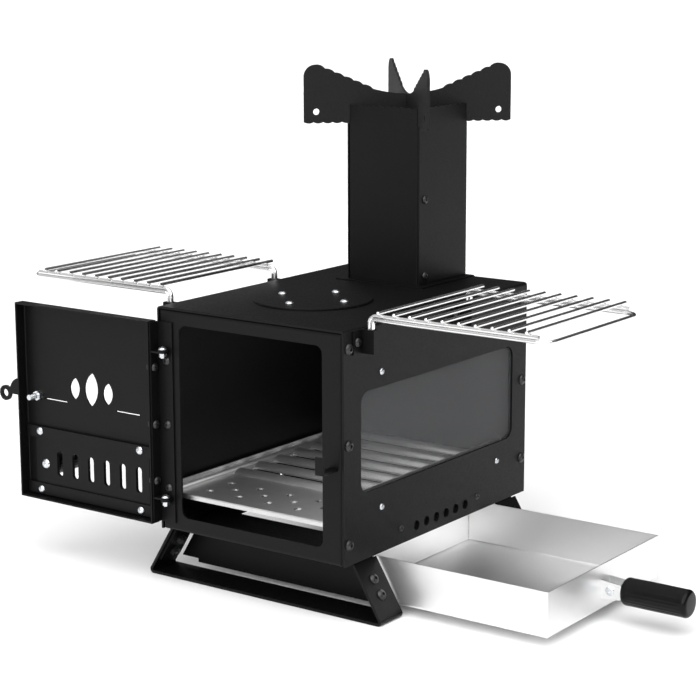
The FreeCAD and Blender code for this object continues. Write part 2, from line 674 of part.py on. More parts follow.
def chimney_collar():
    """Flange on the top plate with a square stub that the chimney slips over."""
    h = CHIMNEY / 2
    back = min(h + COLLAR_LIP, YB - CHIM_CY)
    side = h + COLLAR_LIP
    flange = box(CENTRE_X - side, CENTRE_X + side, CHIM_CY - side, CHIM_CY + back, Z1, CHIM_Z0)
    s = h - 2 * (THIN + SEAM)
    stub = box(CENTRE_X - s, CENTRE_X + s, CHIM_CY - s, CHIM_CY + s, Z1, CHIM_Z0 + COLLAR_STUB)
    flue = s - COLLAR_T
    hole = box(CENTRE_X - flue, CENTRE_X + flue, CHIM_CY - flue, CHIM_CY + flue, Z1 - 5, RIM_Z)
    collar = flange.fuse(stub).cut(hole).removeSplitter()
    low = [p for p in chimney_screw_places() if p[0].z < CHIM_Z0 + COLLAR_STUB]
    return drilled(collar, low, 2.0 + HOLE_GAP, 12.0)


# ---------------------------------------------------------------- pot support
def plate_outline():
    """Pot support plate in XZ about the crossing, z 0 at the chimney rim."""
    low = -NOTCH_DEPTH + 0.05
    arc_z = PLATE_MID_Z + PLATE_ARC_RISE
    n = int((PLATE_HALF - 6 - PLATE_ARC_HALF) / PLATE_SCALLOP)
    tip = PLATE_ARC_HALF + n * PLATE_SCALLOP
    slope = (PLATE_END_Z - arc_z) / (n * PLATE_SCALLOP)
    bump = 1.3
    half = [Part.Arc(V(0, 0, PLATE_MID_Z), V(PLATE_ARC_HALF / 2, 0, PLATE_MID_Z + PLATE_ARC_RISE / 4),
                     V(PLATE_ARC_HALF, 0, arc_z)).toShape()]
    at = V(PLATE_ARC_HALF, 0, arc_z)
    for k in range(n):
        nxt = V(PLATE_ARC_HALF + (k + 1) * PLATE_SCALLOP, 0, arc_z + (k + 1) * PLATE_SCALLOP * slope)
        mid = (at + nxt) * 0.5 + V(-slope, 0, 1).normalize() * bump
        half.append(Part.Arc(at, mid, nxt).toShape())
        at = nxt
    drop = PLATE_HALF - tip
    corner = V(PLATE_HALF, 0, PLATE_END_Z - drop)
    shoulder = at + V(drop * 0.707, 0, -drop * 0.293)
    half.append(Part.Arc(at, shoulder, corner).toShape())
    foot = V(PLATE_HALF, 0, low + 1.2)
    half.append(Part.makeLine(corner, foot))
    m = int(PLATE_HALF / PLATE_SCALLOP)
    at = foot
    for k in range(m):
        nxt = V(PLATE_HALF * (1 - (k + 1) / m), 0, low + 1.2)
        mid = (at + nxt) * 0.5 - EZ * 1.2
        half.append(Part.Arc(at, mid, nxt).toShape())
        at = nxt
    return half


def pot_plate(slot_up, angle):
    """One plate of the cross. slot_up says whether its middle slot is open at the top."""
    half = plate_outline()
    other = [e.mirror(V(0, 0, 0), EX) for e in half]
    ring = Part.Wire(Part.__sortEdges__(half + other))
    plate = Part.Face(ring).extrude(V(0, PLATE_T, 0)).translated(V(0, -PLATE_T / 2, 0))
    for s in (-1, 1):
        hole = cyl(PLATE_HOLE_R, V(s * PLATE_HOLE_S, -5, PLATE_HOLE_Z), EY, 10)
        plate = plate.cut(hole)
    middle = (PLATE_MID_Z - NOTCH_DEPTH) / 2
    w = PLATE_T / 2 + PLATE_SLOT_GAP
    if slot_up:
        plate = plate.cut(box(-w, w, -5, 5, middle - PLATE_SLOT_GAP, PLATE_MID_Z + 20))
    else:
        plate = plate.cut(box(-w, w, -5, 5, -NOTCH_DEPTH - 20, middle + PLATE_SLOT_GAP))
    plate.rotate(V(0, 0, 0), EZ, angle)
    return plate.translated(V(CENTRE_X, CHIM_CY, RIM_Z))


# ---------------------------------------------------------------- door
def vent_places():
    z = DOOR_Z0 + VENT_Z
    return [V(DOOR_X1 - VENT_FIRST - k * VENT_PITCH, DOOR_SKIN, z) for k in range(VENT_COUNT)]


def vent_tool(at, depth):
    slot = rounded_block(VENT_W, VENT_H, depth, VENT_W / 2 - 0.01)
    return turned(slot, at - EY * (depth / 2), EY, EX)


def flame(x, z, w, h):
    """Plain leaf-shaped flame opening, two arcs from the foot to the tip."""
    foot = V(x, 0, z)
    tip = V(x + w * 0.15, 0, z + h)
    left = Part.Arc(foot, V(x - w / 2, 0, z + h * 0.4), tip).toShape()
    right = Part.Arc(tip, V(x + w / 2, 0, z + h * 0.35), foot).toShape()
    return Part.Face(Part.Wire([left, right])).extrude(V(0, 10, 0)).translated(V(0, DOOR_SKIN - 5, 0))


def sight_holes():
    """Three flames of rising size over a thin level line on each side."""
    x = DOOR_X1 - FLAME_X
    z = DOOR_Z0 + FLAME_Z
    tools = [flame(x - 20, z + 4, 11, 20), flame(x, z, 15, 31), flame(x + 20, z + 4, 11, 20)]
    for s in (-1, 1):
        mid = x + s * (FLAME_HALF - FLAME_LINE / 2)
        half = FLAME_LINE / 2
        tools.append(box(mid - half, mid + half, DOOR_SKIN - 5, DOOR_SKIN + 5, z - 0.6, z + 0.6))
    return tools


def rail_screw_places():
    mid = DOOR_Z0 + DAMPER_MID_Z
    zs = (mid - RAIL_SCREW_HALF, mid + RAIL_SCREW_HALF)
    xs = (DOOR_X1 - RAIL_SCREW_INSET, DOOR_X0 + RAIL_SCREW_INSET)
    y = DOOR_SKIN - THIN - 2 * (THIN + DAMPER_GAP) - 0.02
    return [(V(x, y, z), -EY) for x in xs for z in zs]


def damper_z0():
    return DOOR_Z0 + DAMPER_MID_Z - DAMPER_H / 2


def pull_place():
    return V(DOOR_X1 - DAMPER_PULL_X, DOOR_SKIN, DOOR_Z0 + VENT_Z - 2.5)


def door_panel():
    pan = tray(DOOR_W, DOOR_H, DOOR_DEPTH, THIN, 2.5)
    at = V((DOOR_X0 + DOOR_X1) / 2, DOOR_SKIN, (DOOR_Z0 + DOOR_Z1) / 2)
    pan = turned(pan, at, -EY, EX)
    for place in vent_places():
        pan = pan.cut(vent_tool(place, 10.0))
    for tool in sight_holes():
        pan = pan.cut(tool)
    pull = pull_place()
    travel = rounded_block(DAMPER_SLIDE + 6.0, 6.0, 10.0, 2.99)
    pan = pan.cut(turned(travel, pull + V(-DAMPER_SLIDE / 2, -5, 0), EY, EX))
    pan = drilled(pan, [(V(PIVOT_X, DOOR_SKIN, PIVOT_Z), EY)], 2.5 + HOLE_GAP, 10.0)
    pan = drilled(pan, LEAF_DOOR_SCREWS, 2.0 + HOLE_GAP, 12.0)
    return drilled(pan, rail_screw_places(), 2.0 + HOLE_GAP, 16.0)


def damper_rails():
    """Two guide strips with a lip over the damper plate's edges."""
    skin = DOOR_SKIN - THIN
    lip = skin - THIN - 2 * DAMPER_GAP
    x0 = DOOR_X0 + THIN + 1.5
    x1 = DOOR_X1 - THIN - 1.5
    out = []
    for edge, up in ((damper_z0() - 0.3, -1), (damper_z0() + DAMPER_H + 0.3, 1)):
        far = edge + up * (RAIL_W - RAIL_LAP)
        near = edge - up * RAIL_LAP
        pts = [(x0, skin, edge), (x0, lip, edge), (x0, lip, near), (x0, lip - THIN, near),
               (x0, lip - THIN, far), (x0, skin, far)]
        strip = face_of(pts).extrude(V(x1 - x0, 0, 0))
        out.append(drilled(strip, rail_screw_places(), 2.0 + HOLE_GAP, 16.0))
    return Part.makeCompound(out)


def rail_screws():
    return screws(rail_screw_places(), 2.0, 2 * THIN + THIN + 2 * DAMPER_GAP + 0.02)


def damper_plate():
    y1 = DOOR_SKIN - THIN - DAMPER_GAP
    x1 = DOOR_X1 - DAMPER_END
    plate = box(x1 - DAMPER_W, x1, y1 - THIN, y1, damper_z0(), damper_z0() + DAMPER_H)
    for place in vent_places():
        plate = plate.cut(vent_tool(place, 12.0))
    return drilled(plate, [(pull_place(), EY)], 2.5 + HOLE_GAP, 10.0)


def damper_pull_screw():
    at = pull_place() - EY * (2 * THIN + DAMPER_GAP)
    return turned(button_screw(2.5, 20.0), at, -EY)


def damper_pull():
    """Round black pull on the outside of the door, turned with soft edges."""
    at = pull_place() + EY * 0.5
    body = cyl(DAMPER_PULL_R, at, EY, DAMPER_PULL_L)
    body = body.makeFillet(2.0, [e for e in body.Edges if e.Length > DAMPER_PULL_R and len(e.Vertexes) == 1])
    return body.cut(cyl(2.5 + WELD_GAP, at - EY, EY, 18.0))


# ---------------------------------------------------------------- hinge
def leaf_levels():
    """Heights of the lugs, upper pair then lower: (body low, body high, door low, door high)."""
    top = HINGE_Z + LEAF_HALF
    low = HINGE_Z - LEAF_HALF
    upper = (top - THIN, top, top - 2 * THIN - LUG_GAP, top - THIN - LUG_GAP)
    lower = (low, low + THIN, low + THIN + LUG_GAP, low + 2 * THIN + LUG_GAP)
    return upper, lower


def lug(x_root, y_root, z0, z1):
    """Flat ear from a root line to a round end about the hinge axis."""
    ear = cyl(LUG_R, V(HINGE_X, HINGE_Y, z0), EZ, z1 - z0)
    if x_root is None:
        arm = box(HINGE_X - LUG_R, HINGE_X + LUG_R, HINGE_Y, y_root, z0, z1)
    else:
        arm = box(x_root, HINGE_X, HINGE_Y - LUG_R, HINGE_Y + LUG_R, z0, z1)
    return ear.fuse(arm)


def body_hinge_leaf():
    upper, lower = leaf_levels()
    z0, z1 = DOOR_Z0 + LEAF_END, DOOR_Z1 - LEAF_END
    leaf = box(-XR + LEAF_SIDE, HINGE_X + LEAF_BODY_IN, YF - THIN, YF, z0, z1)
    for level in (upper, lower):
        leaf = leaf.fuse(lug(None, YF, level[0], level[1]))
    leaf = leaf.cut(cyl(PIN_R + PIN_GAP, V(HINGE_X, HINGE_Y, Z0), EZ, HEIGHT)).removeSplitter()
    return drilled(leaf, LEAF_BODY_SCREWS, 2.0 + HOLE_GAP, 8.0)


def door_hinge_leaf():
    upper, lower = leaf_levels()
    y0 = HINGE_Y - LEAF_DOOR_W / 2
    leaf = box(DOOR_X1, DOOR_X1 + THIN, y0, y0 + LEAF_DOOR_W, DOOR_Z0 + LEAF_END, DOOR_Z1 - LEAF_END)
    for level in (upper, lower):
        leaf = leaf.fuse(lug(DOOR_X1, 0, level[2], level[3]))
    leaf = leaf.cut(cyl(PIN_R + PIN_GAP, V(HINGE_X, HINGE_Y, Z0), EZ, HEIGHT)).removeSplitter()
    return drilled(leaf, LEAF_DOOR_SCREWS, 2.0 + HOLE_GAP, 8.0)


def hinge_pins():
    """Two screws with nuts, each through one body lug and one door lug."""
    upper, lower = leaf_levels()
    out = []
    for top, bottom in ((upper[1], upper[2]), (lower[3] + LUG_GAP, lower[0])):
        span = top - bottom
        out.append(turned(button_screw(PIN_R, span + 4.5), V(HINGE_X, HINGE_Y, top), EZ))
        under = bottom - (LUG_GAP if bottom > HINGE_Z else 0.0)
        out.append(turned(nut(PIN_R), V(HINGE_X, HINGE_Y, under), EZ, EY))
    return Part.makeCompound(out)


# ---------------------------------------------------------------- latch
CATCH_X0 = XR - CATCH_INSET - CATCH_W
CATCH_Z1 = PIVOT_Z - CATCH_DROP
CATCH_Z0 = CATCH_Z1 - CATCH_TAB_H


def latch_catch():
    """Hook on the right stile: a foot behind it, an arm through it, and a tab that stands up in front."""
    x0 = CATCH_X0
    x1 = CATCH_X0 + CATCH_W
    arm = box(x0, x1, YF - CATCH_REACH, YF + SHEET + SEAM + CATCH_T, CATCH_Z0, CATCH_Z0 + CATCH_T)
    tab = box(x0, x1, YF - CATCH_REACH, YF - CATCH_REACH + CATCH_T, CATCH_Z0, CATCH_Z1)
    foot_y = YF + SHEET + SEAM
    foot = box(x0, x1, foot_y, foot_y + CATCH_T, CATCH_Z0 - CATCH_FOOT_H, CATCH_Z0 + CATCH_T)
    return arm.fuse(tab).fuse(foot).removeSplitter()


def latch_lever():
    """Flat lever on the outside of the door: pivot boss, round thumb lobe and an eye at its end."""
    y0 = DOOR_SKIN + LATCH_GAP
    px, pz = PIVOT_X, PIVOT_Z
    ring = V(px - LATCH_RING_X, y0, pz + LATCH_RING_Z)
    boss = cyl(LATCH_BOSS_R, V(px, y0, pz), EY, LATCH_T)
    eye = cyl(LATCH_RING_R, ring, EY, LATCH_T)
    low = pz - LATCH_UNDER
    arm = box(ring.x, px, y0, y0 + LATCH_T, low, pz + LATCH_ARM_TOP)
    lobe = cyl(LATCH_LOBE_R, V(px - LATCH_LOBE_X, y0, pz - LATCH_LOBE_DROP), EY, LATCH_T)
    above = box(ring.x, px, y0, y0 + LATCH_T, low, pz + LATCH_LOBE_R)
    lobe = lobe.common(above)
    lever = boss.fuse(arm).fuse(lobe).fuse(eye).removeSplitter()
    lever = lever.cut(cyl(LATCH_EYE_R, ring - EY, EY, 6.0))
    return lever.cut(cyl(2.5 + PIN_GAP, V(px, y0 - 1, pz), EY, 6.0))


def latch_bolt():
    """Pivot screw from the outside with its nut inside the door."""
    head = V(PIVOT_X, DOOR_SKIN + LATCH_GAP + LATCH_T + 0.2, PIVOT_Z)
    bolt = turned(button_screw(2.5, 18.0), head, EY)
    fixed = turned(nut(2.5), V(PIVOT_X, DOOR_SKIN - THIN, PIVOT_Z), EY)
    return Part.makeCompound([bolt, fixed])


# ---------------------------------------------------------------- feet
def foot_strip(y0):
    """Sheet strip bent into a trapezoid: level on the ground, splayed legs up to the firebox floor."""
    top = Z0 - FOOT_TOP_GAP
    spread = XR + FOOT_SPREAD
    pts = [(-XR, 0, top), (-spread, 0, 0), (spread, 0, 0), (XR, 0, top)]
    strip = flat_strip(pts, FOOT_T, 1.0, FOOT_W, y0)
    return drilled(strip, foot_screw_places(y0), 2.5 + HOLE_GAP, 16.0)


def leg_slope():
    return V(FOOT_SPREAD, 0, -(Z0 - FOOT_TOP_GAP)).normalize()


def foot_screw_places(y0):
    places = []
    for side in (-1, 1):
        for z in FOOT_SCREW_Z:
            x = XR + FOOT_SPREAD * (1 - z / (Z0 - FOOT_TOP_GAP))
            out = V(Z0 - FOOT_TOP_GAP, 0, FOOT_SPREAD).normalize()
            places.append((V(side * x, y0 + FOOT_W / 2, z), V(side * out.x, 0, out.z)))
    return places


def leg_bracket(y0):
    """Inverted trapezoid strip under the floor, its legs flat on the inner side of the foot's legs."""
    along = leg_slope()
    out = V(-along.z, 0, along.x)
    shift = FOOT_T + SEAM
    base = V(XR, 0, Z0 - FOOT_TOP_GAP) - out * shift
    t_top = (base.z - Z0) / -along.z
    top = base + along * t_top
    t_low = (base.z - FOOT_BRACKET_Z) / -along.z
    low = base + along * t_low
    pts = [(low.x, 0, low.z), (top.x, 0, Z0), (-top.x, 0, Z0), (-low.x, 0, low.z)]
    strip = flat_strip(pts, FOOT_BRACKET_T, 1.0, FOOT_W - 2 * FOOT_BRACKET_IN, y0 + FOOT_BRACKET_IN)
    return drilled(strip, foot_screw_places(y0), 2.5 + HOLE_GAP, 16.0)


def foot_screws(y0):
    return screws(foot_screw_places(y0), 2.5, 10.0, FOOT_T + SEAM + FOOT_BRACKET_T)


# ---------------------------------------------------------------- drawer
def drawer_runner(side):
    """Drawer guide: skirt with ends sloped like the legs, shelf under the drawer, flange on the floor."""
    wall_y = DRAWER_W / 2 + RUNNER_GAP
    z0 = DRAWER_Z0 - RUNNER_GAP - RUNNER_T
    inner = XR - FOOT_T - FOOT_BRACKET_T - 3.0
    low_x = XR + FOOT_SPREAD * 0.56
    low_z = z0 + 3.6
    pts = [(-inner, wall_y, Z0), (inner, wall_y, Z0), (low_x, wall_y, low_z), (XR - 2, wall_y, low_z),
           (XR - 2, wall_y, z0), (-XR + 2, wall_y, z0), (-XR + 2, wall_y, low_z), (-low_x, wall_y, low_z)]
    skirt = face_of(pts).extrude(V(0, RUNNER_T, 0))
    x = XR - 4.0
    shelf = box(-x, x, wall_y - RUNNER_SHELF, wall_y + RUNNER_T, z0, z0 + RUNNER_T)
    flange = box(-inner, inner, wall_y - RUNNER_FLANGE, wall_y + RUNNER_T, Z0 - RUNNER_T, Z0)
    runner = skirt.fuse(shelf).fuse(flange).removeSplitter()
    if side < 0:
        runner = runner.mirror(V(0, 0, 0), EY)
    return runner.translated(V(0, DRAWER_CY, 0))


def drawer_tray():
    tub = tray(DRAWER_L, DRAWER_W, DRAWER_H, DRAWER_T, 2.5)
    return tub.translated(V((DRAWER_X0 + DRAWER_X1) / 2, DRAWER_CY, DRAWER_Z0))


def drawer_rivet_places():
    z = DRAWER_Z0 + BRACKET_Z
    return [(V(DRAWER_X1 + BRACKET_PIN_X, DRAWER_CY - BRACKET_HALF, z), -EY)]


def drawer_bracket():
    """Fork welded to the drawer's end wall: two tapered side plates joined by an end plate for the grip."""
    x = DRAWER_X1
    far = x + BRACKET_REACH
    z = DRAWER_Z0 + BRACKET_Z
    near_h = BRACKET_H / 2
    far_h = BRACKET_END_H / 2
    pts = [(x, 0, z - near_h), (far, 0, z - far_h), (far, 0, z + far_h), (x, 0, z + near_h)]
    solid = face_of(pts).extrude(V(0, 2 * BRACKET_HALF, 0)).translated(V(0, DRAWER_CY - BRACKET_HALF, 0))
    inside = BRACKET_HALF - THIN
    room = box(x - 1, far - THIN, DRAWER_CY - inside, DRAWER_CY + inside, z - BRACKET_H, z + BRACKET_H)
    fork = drilled(solid.cut(room), [(V(far, DRAWER_CY, z), EX)], 2.5 + HOLE_GAP, 8.0)
    return drilled(fork, drawer_rivet_places(), 1.5 + HOLE_GAP, 40.0)


def drawer_rivets():
    """One cross pin through both side plates, with a low head at each end."""
    at, axis = drawer_rivet_places()[0]
    pin = turned(button_screw(1.5, 2 * BRACKET_HALF, 2.8, 0.9), at, axis)
    tail = cyl(2.4, at - axis * (2 * BRACKET_HALF), -axis, 0.9)
    return pin.fuse(tail)


def drawer_bolt():
    at = V(DRAWER_X1 + BRACKET_REACH - THIN, DRAWER_CY, DRAWER_Z0 + BRACKET_Z)
    return turned(button_screw(2.5, 24.0), at, -EX)


def drawer_grip():
    at = V(DRAWER_X1 + BRACKET_REACH + 0.05, DRAWER_CY, DRAWER_Z0 + BRACKET_Z)
    grip = cyl(GRIP_R, at, EX, GRIP_L)
    grip = grip.makeFillet(2.5, [e for e in grip.Edges if len(e.Vertexes) == 1])
    return grip.cut(cyl(2.5 + WELD_GAP, at - EX, EX, 24.0))


# ---------------------------------------------------------------- shelves
def shelf_levels():
    low = Z1 + SHELF_ARM_Z
    high = low + 2 * SHELF_WIRE_R + WELD_GAP
    rod = high + SHELF_WIRE_R + SHELF_ROD_R + WELD_GAP
    return low, high, rod


def leg_places(side):
    """X of the upper wire's leg and of the lower wire's leg."""
    near = side * (XR + SHELF_LEG_X)
    return near, near + side * (2 * SHELF_WIRE_R + WELD_GAP)


def shelf_frame(side):
    """Lower wire in one piece: leg, arm, outer bar, arm and leg."""
    low, high, rod = shelf_levels()
    leg = leg_places(side)[1]
    out = side * (XR + SHELF_REACH)
    y0, y1 = SOCKET_ARMS["front"], SOCKET_ARMS["rear"]
    end = Z1 - SHELF_LEG_END
    legs = strip_path([(leg, y0, end), (leg, y0, low), (leg + side * 20, y0, low)], 4.0)
    near = leg + side * 20
    loop = [(near, y0, low), (out, y0, low), (out, y1, low), (near, y1, low)]
    outer = strip_path(loop, SHELF_CORNER_R)
    back = strip_path([(leg + side * 20, y1, low), (leg, y1, low), (leg, y1, end)], 4.0)
    path = Part.Wire(legs + outer + back)
    ring = Part.Wire([Part.makeCircle(SHELF_WIRE_R, V(leg, y0, end), EZ)])
    return path.makePipeShell([ring], True, False)


def shelf_arms(side):
    """Upper wires, one on each arm, bent down beside the lower wire's legs."""
    low, high, rod = shelf_levels()
    leg = leg_places(side)[0]
    out = side * (XR + SHELF_REACH - SHELF_CORNER_R + 3.0)
    end = Z1 - SHELF_LEG_END
    bend = 4.0 + 2 * SHELF_WIRE_R + WELD_GAP
    wires = [bent_wire([(leg, y, end), (leg, y, high), (out, y, high)], SHELF_WIRE_R, bend)
             for y in SOCKET_ARMS.values()]
    return Part.makeCompound(wires)


def shelf_rods(side):
    low, high, rod = shelf_levels()
    y0 = SOCKET_ARMS["front"] - SHELF_ROD_OVER_FRONT
    y1 = SOCKET_ARMS["rear"] + SHELF_ROD_OVER_REAR
    rods = []
    for k in range(SHELF_RODS):
        x = side * (XR + SHELF_ROD_FIRST + k * SHELF_ROD_PITCH)
        stick = cyl(SHELF_ROD_R, V(x, y0, rod), EY, y1 - y0)
        rods.append(stick.makeFillet(0.6, [e for e in stick.Edges if len(e.Vertexes) == 1]))
    return Part.makeCompound(rods)


def shelf_socket(side, arm_y):
    """Folded channel on the wall that takes two wire legs, with one screwed ear towards the front."""
    z1 = Z1 - SOCKET_TOP
    z0 = z1 - SOCKET_H
    reach = SHELF_LEG_X + 3 * SHELF_WIRE_R + WELD_GAP + SOCKET_GAP
    half = SOCKET_IN
    channel_out = box(XR, XR + reach + SOCKET_T, arm_y - half - SOCKET_T, arm_y + half + SOCKET_T, z0, z1)
    channel_out = channel_out.cut(box(XR + SOCKET_T, XR + reach, arm_y - half, arm_y + half, z0 - 1, z1 + 1))
    ear_y = arm_y - half - SOCKET_T
    ear = box(XR, XR + SOCKET_T, ear_y - SOCKET_EAR, ear_y + 1.0, z0, z1)
    socket = channel_out.fuse(ear).removeSplitter()
    if side < 0:
        socket = socket.mirror(V(0, 0, 0), EX)
    return drilled(socket, [socket_screw_place(side, arm_y)], 2.0 + HOLE_GAP, 8.0)


# ---------------------------------------------------------------- build
def build():
    save("firebox_wrap", firebox_wrap())
    save("front_frame", front_frame())
    save("rear_panel", rear_panel())
    save("floor_pan", floor_pan())
    save("grate_rails", grate_rails())
    save("window_glass", window_glass())
    save("glass_clips", glass_clips())
    save("grate", grate())
    flange_grip = SHEET + SEAM + SHEET
    save("front_flange_screws", screws(FRONT_SCREWS, 2.5, 12.0, flange_grip))
    save("rear_flange_screws", screws(REAR_SCREWS, 2.5, 12.0, flange_grip))
    save("floor_screws", screws(FLOOR_SCREWS, 1.5, 8.0, flange_grip))
    save("glass_screws", screws(GLASS_SCREWS, 1.5, 7.0, SHEET + CLIP_T))
    save("socket_screws", screws(SOCKET_SCREWS, 2.0, 8.0, SOCKET_T + SHEET))
    save("lid_plate", lid_plate())
    save("lid_plug", lid_plug())
    save("lid_screws", screws(LID_SCREWS, 2.0, LID_T + LID_PLUG_T + 4.0, LID_T + LID_PLUG_T))
    save("chimney_shell", chimney_shell())
    save("chimney_front", chimney_front())
    save("chimney_collar", chimney_collar())
    low = [p for p in chimney_screw_places() if p[0].z < CHIM_Z0 + COLLAR_STUB]
    high = [p for p in chimney_screw_places() if p[0].z > CHIM_Z0 + COLLAR_STUB]
    stack = 2 * THIN + SEAM
    pair = [screws(low, 2.0, 9.0, stack + SEAM + COLLAR_T), screws(high, 2.0, 8.0, stack)]
    save("chimney_screws", Part.makeCompound(pair))
    save("pot_plate_lower", pot_plate(True, 45))
    save("pot_plate_upper", pot_plate(False, 135))
    save("door_panel", door_panel())
    save("door_hinge_leaf", door_hinge_leaf())
    save("door_leaf_screws", screws(LEAF_DOOR_SCREWS, 2.0, 6.5, 2 * THIN))
    save("body_hinge_leaf", body_hinge_leaf())
    save("body_leaf_screws", screws(LEAF_BODY_SCREWS, 2.0, 5.0))
    save("hinge_pins", hinge_pins())
    save("damper_rails", damper_rails())
    save("damper_rail_screws", rail_screws())
    save("damper_plate", damper_plate())
    save("damper_pull", damper_pull())
    save("damper_pull_screw", damper_pull_screw())
    save("latch_lever", latch_lever())
    save("latch_bolt", latch_bolt())
    save("latch_catch", latch_catch())
    for name, y0 in (("front", YF + FOOT_FRONT), ("rear", YF + FOOT_REAR)):
        save(name + "_foot", foot_strip(y0))
        save(name + "_leg_bracket", leg_bracket(y0))
        save(name + "_foot_screws", foot_screws(y0))
    save("drawer_runner_front", drawer_runner(-1))
    save("drawer_runner_rear", drawer_runner(1))
    save("drawer_tray", drawer_tray())
    save("drawer_bracket", drawer_bracket())
    save("drawer_rivets", drawer_rivets())
    save("drawer_bolt", drawer_bolt())
    save("drawer_grip", drawer_grip())
    for side, word in ((-1, "left"), (1, "right")):
        save(word + "_shelf_frame", shelf_frame(side))
        save(word + "_shelf_arms", shelf_arms(side))
        save(word + "_shelf_rods", shelf_rods(side))
        for place, y in SOCKET_ARMS.items():
            save(word + "_" + place + "_socket", shelf_socket(side, y))


os.makedirs("parts", exist_ok=True)
build()
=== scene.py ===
import json
import math

import bpy
import numpy as np
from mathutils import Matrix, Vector


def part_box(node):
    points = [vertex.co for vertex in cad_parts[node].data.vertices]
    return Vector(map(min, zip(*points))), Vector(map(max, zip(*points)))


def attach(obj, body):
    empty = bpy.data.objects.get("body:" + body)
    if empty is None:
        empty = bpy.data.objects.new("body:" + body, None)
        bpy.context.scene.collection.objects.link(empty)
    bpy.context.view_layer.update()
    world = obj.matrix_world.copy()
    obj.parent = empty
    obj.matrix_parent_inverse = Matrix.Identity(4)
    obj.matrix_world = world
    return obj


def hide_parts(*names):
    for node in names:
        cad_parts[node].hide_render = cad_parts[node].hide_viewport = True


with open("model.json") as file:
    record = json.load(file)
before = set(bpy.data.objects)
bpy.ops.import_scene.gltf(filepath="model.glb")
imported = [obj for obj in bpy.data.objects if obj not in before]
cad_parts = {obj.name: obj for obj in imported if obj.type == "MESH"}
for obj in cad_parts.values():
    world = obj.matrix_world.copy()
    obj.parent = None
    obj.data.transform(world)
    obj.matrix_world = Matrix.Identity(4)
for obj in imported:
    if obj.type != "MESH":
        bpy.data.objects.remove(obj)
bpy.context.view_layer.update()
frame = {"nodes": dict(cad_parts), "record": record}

MM = 0.001


# ---------------------------------------------------------------- camera, light and floor
CAMERA_AT = (1.0317, -1.3040, 0.5644)
CAMERA_LOOK = (-0.5650, 0.8003, -0.2008)
CAMERA_LENS = 102.3
CAMERA_SENSOR = 36.0
CAMERA_SHIFT = (-0.0372, -0.0103)
FLOOR_HALF = 60.0
FLOOR_DROP = 0.2 * MM     # table under the feet
VIEW_FAR = 200.0
# Each sun: strength, apparent width in degrees, and the way its light goes.
SUNS = {
    "key_light": (2.9, 85.0, (-0.45, 0.55, -1.0)),
    "fill_light": (1.4, 140.0, (0.5, 0.5, -1.0)),
    "front_light": (0.7, 40.0, (-0.1, 1.0, -0.38)),
}
LAMP_POWER = 0.12
LAMP_SHARE = 0.7          # lamp's size as a share of the firebox
LAMP_DROP = 16.0 * MM     # lamp under the top plate, below the lid's plug
ROOM_LOW = 0.25           # sine of the height where the room starts to brighten
ROOM_HIGH = 0.85
ROOM_HORIZON = 0.02
ROOM_OVERHEAD = 0.30


def add_camera():
    """Long lens, standing to the right of the doorway and looking a little down."""
    data = bpy.data.cameras.new("studio_camera")
    data.lens = CAMERA_LENS
    data.sensor_width = CAMERA_SENSOR
    data.shift_x, data.shift_y = CAMERA_SHIFT
    data.clip_end = VIEW_FAR
    camera = bpy.data.objects.new("studio_camera", data)
    camera.location = CAMERA_AT
    camera.rotation_euler = Vector(CAMERA_LOOK).to_track_quat("-Z", "Y").to_euler()
    bpy.context.scene.collection.objects.link(camera)
    bpy.context.scene.camera = camera


def add_sun(name, strength, width, towards):
    """Large soft source far away, shining along a direction."""
    data = bpy.data.lights.new(name, "SUN")
    data.energy = strength
    data.angle = math.radians(width)
    lamp = bpy.data.objects.new(name, data)
    lamp.rotation_euler = Vector(towards).to_track_quat("-Z", "Y").to_euler()
    bpy.context.scene.collection.objects.link(lamp)


def add_firebox_lamp():
    """Small soft lamp out of sight under the firebox's top, so that the grate shows in the dark box."""
    lo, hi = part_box("firebox_wrap")
    data = bpy.data.lights.new("firebox_lamp", "AREA")
    data.energy = LAMP_POWER
    data.shape = "RECTANGLE"
    data.size = (hi.x - lo.x) * LAMP_SHARE
    data.size_y = (hi.y - lo.y) * LAMP_SHARE
    lamp = bpy.data.objects.new("firebox_lamp", data)
    lamp.location = ((lo.x + hi.x) / 2, (lo.y + hi.y) / 2, hi.z - LAMP_DROP)
    lamp.visible_camera = False
    bpy.context.scene.collection.objects.link(lamp)


def add_world():
    """Room darkest at the horizon and bright overhead, and plain white where it is seen directly."""
    world = bpy.data.worlds.new("studio")
    bpy.context.scene.world = world
    world.use_nodes = True
    tree = world.node_tree
    tree.nodes.clear()
    towards = node(tree, "ShaderNodeTexCoord", {}, {}).outputs["Generated"]
    height = node(tree, "ShaderNodeSeparateXYZ", {}, {"Vector": towards}).outputs["Z"]
    glow = node(tree, "ShaderNodeMapRange", {"interpolation_type": "SMOOTHSTEP"}, {
        "Value": height, "From Min": ROOM_LOW, "From Max": ROOM_HIGH,
        "To Min": ROOM_HORIZON, "To Max": ROOM_OVERHEAD})
    room = node(tree, "ShaderNodeBackground", {}, {"Strength": glow.outputs[0]})
    plain = node(tree, "ShaderNodeBackground", {}, {"Color": (1.0, 1.0, 1.0, 1.0)})
    ray = node(tree, "ShaderNodeLightPath", {}, {})
    both = node(tree, "ShaderNodeMixShader", {}, {
        0: ray.outputs["Is Camera Ray"], 1: room.outputs[0], 2: plain.outputs[0]})
    node(tree, "ShaderNodeOutputWorld", {}, {"Surface": both.outputs[0]})


